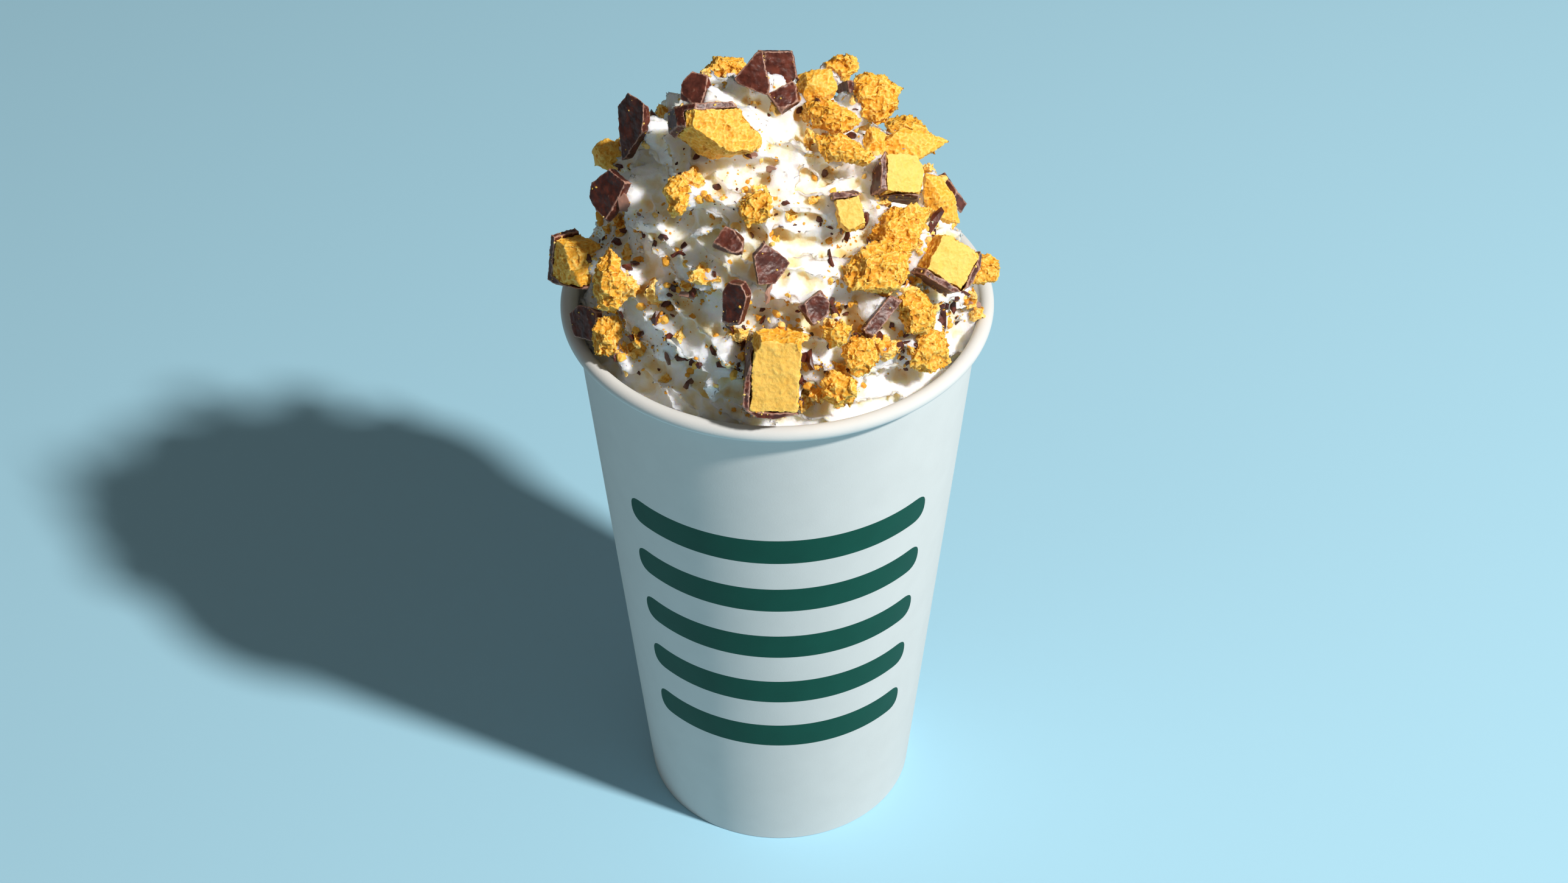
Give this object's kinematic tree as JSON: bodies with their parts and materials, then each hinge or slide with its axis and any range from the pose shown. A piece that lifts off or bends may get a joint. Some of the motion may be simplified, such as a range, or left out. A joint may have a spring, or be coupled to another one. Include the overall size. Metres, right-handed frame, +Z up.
{
  "type": "milkshake in a paper cup",
  "caption": "Tall white paper cup with a rolled lip, filled with milkshake and heaped with whipped cream, broken chocolate-coated honeycomb bar and crumbs.",
  "frame": {"origin": "on the table under the middle of the cup's foot", "axes": "+Z up the cup; -Y is the front that carries the print; +X is to the right seen from the front"},
  "size_m": [0.0923, 0.0913, 0.1939],
  "materials": {
    "paper_board": "uncoated matt white board with green ink",
    "milkshake": "thick, satin",
    "whipped_cream": "soft, satin, slightly translucent",
    "honeycomb": "porous brittle sugar, matt with small glints",
    "chocolate": "satin, with a dusty bloom on broken edges"
  },
  "bodies": {
    "root": {"cup_wall": "paper_board", "cup_base": "paper_board", "milkshake": "milkshake", "whipped_cream": "whipped_cream", "bar_crown": "honeycomb", "bar_front": "honeycomb", "bar_right": "honeycomb", "bar_cap": "honeycomb", "bar_shoulder": "honeycomb", "bar_left": "honeycomb", "bar_back": "honeycomb", "bar_coat_crown": "chocolate", "bar_coat_front": "chocolate", "bar_coat_right": "chocolate", "bar_coat_cap": "chocolate", "bar_coat_shoulder": "chocolate", "bar_coat_left": "chocolate", "bar_coat_back": "chocolate", "honeycomb_top": "honeycomb", "honeycomb_peak": "honeycomb", "honeycomb_crest": "honeycomb", "honeycomb_long_high": "honeycomb", "honeycomb_long_low": "honeycomb", "honeycomb_post": "honeycomb", "honeycomb_spike": "honeycomb", "honeycomb_flank": "honeycomb", "honeycomb_middle": "honeycomb", "honeycomb_slab": "honeycomb", "honeycomb_pair_high": "honeycomb", "honeycomb_pair_low": "honeycomb", "honeycomb_edge_right": "honeycomb", "honeycomb_low": "honeycomb", "honeycomb_rim": "honeycomb", "honeycomb_left_high": "honeycomb", "honeycomb_left_low": "honeycomb", "honeycomb_shaded": "honeycomb", "honeycomb_small_left": "honeycomb", "honeycomb_small_mid": "honeycomb", "honeycomb_inner": "honeycomb", "honeycomb_back_high": "honeycomb", "honeycomb_back_left": "honeycomb", "honeycomb_back_right": "honeycomb", "honeycomb_back_low": "honeycomb", "chocolate_left": "chocolate", "chocolate_dark_high": "chocolate", "chocolate_dark_low": "chocolate", "chocolate_tip": "chocolate", "chocolate_crown": "chocolate", "chocolate_small_top": "chocolate", "chocolate_chip": "chocolate", "chocolate_stick": "chocolate", "chocolate_upright": "chocolate", "chocolate_flake": "chocolate", "chocolate_small_mid": "chocolate", "chocolate_fold": "chocolate", "chocolate_back_high": "chocolate", "chocolate_back_left": "chocolate", "chocolate_back_right": "chocolate"}
  },
  "joints": []
}
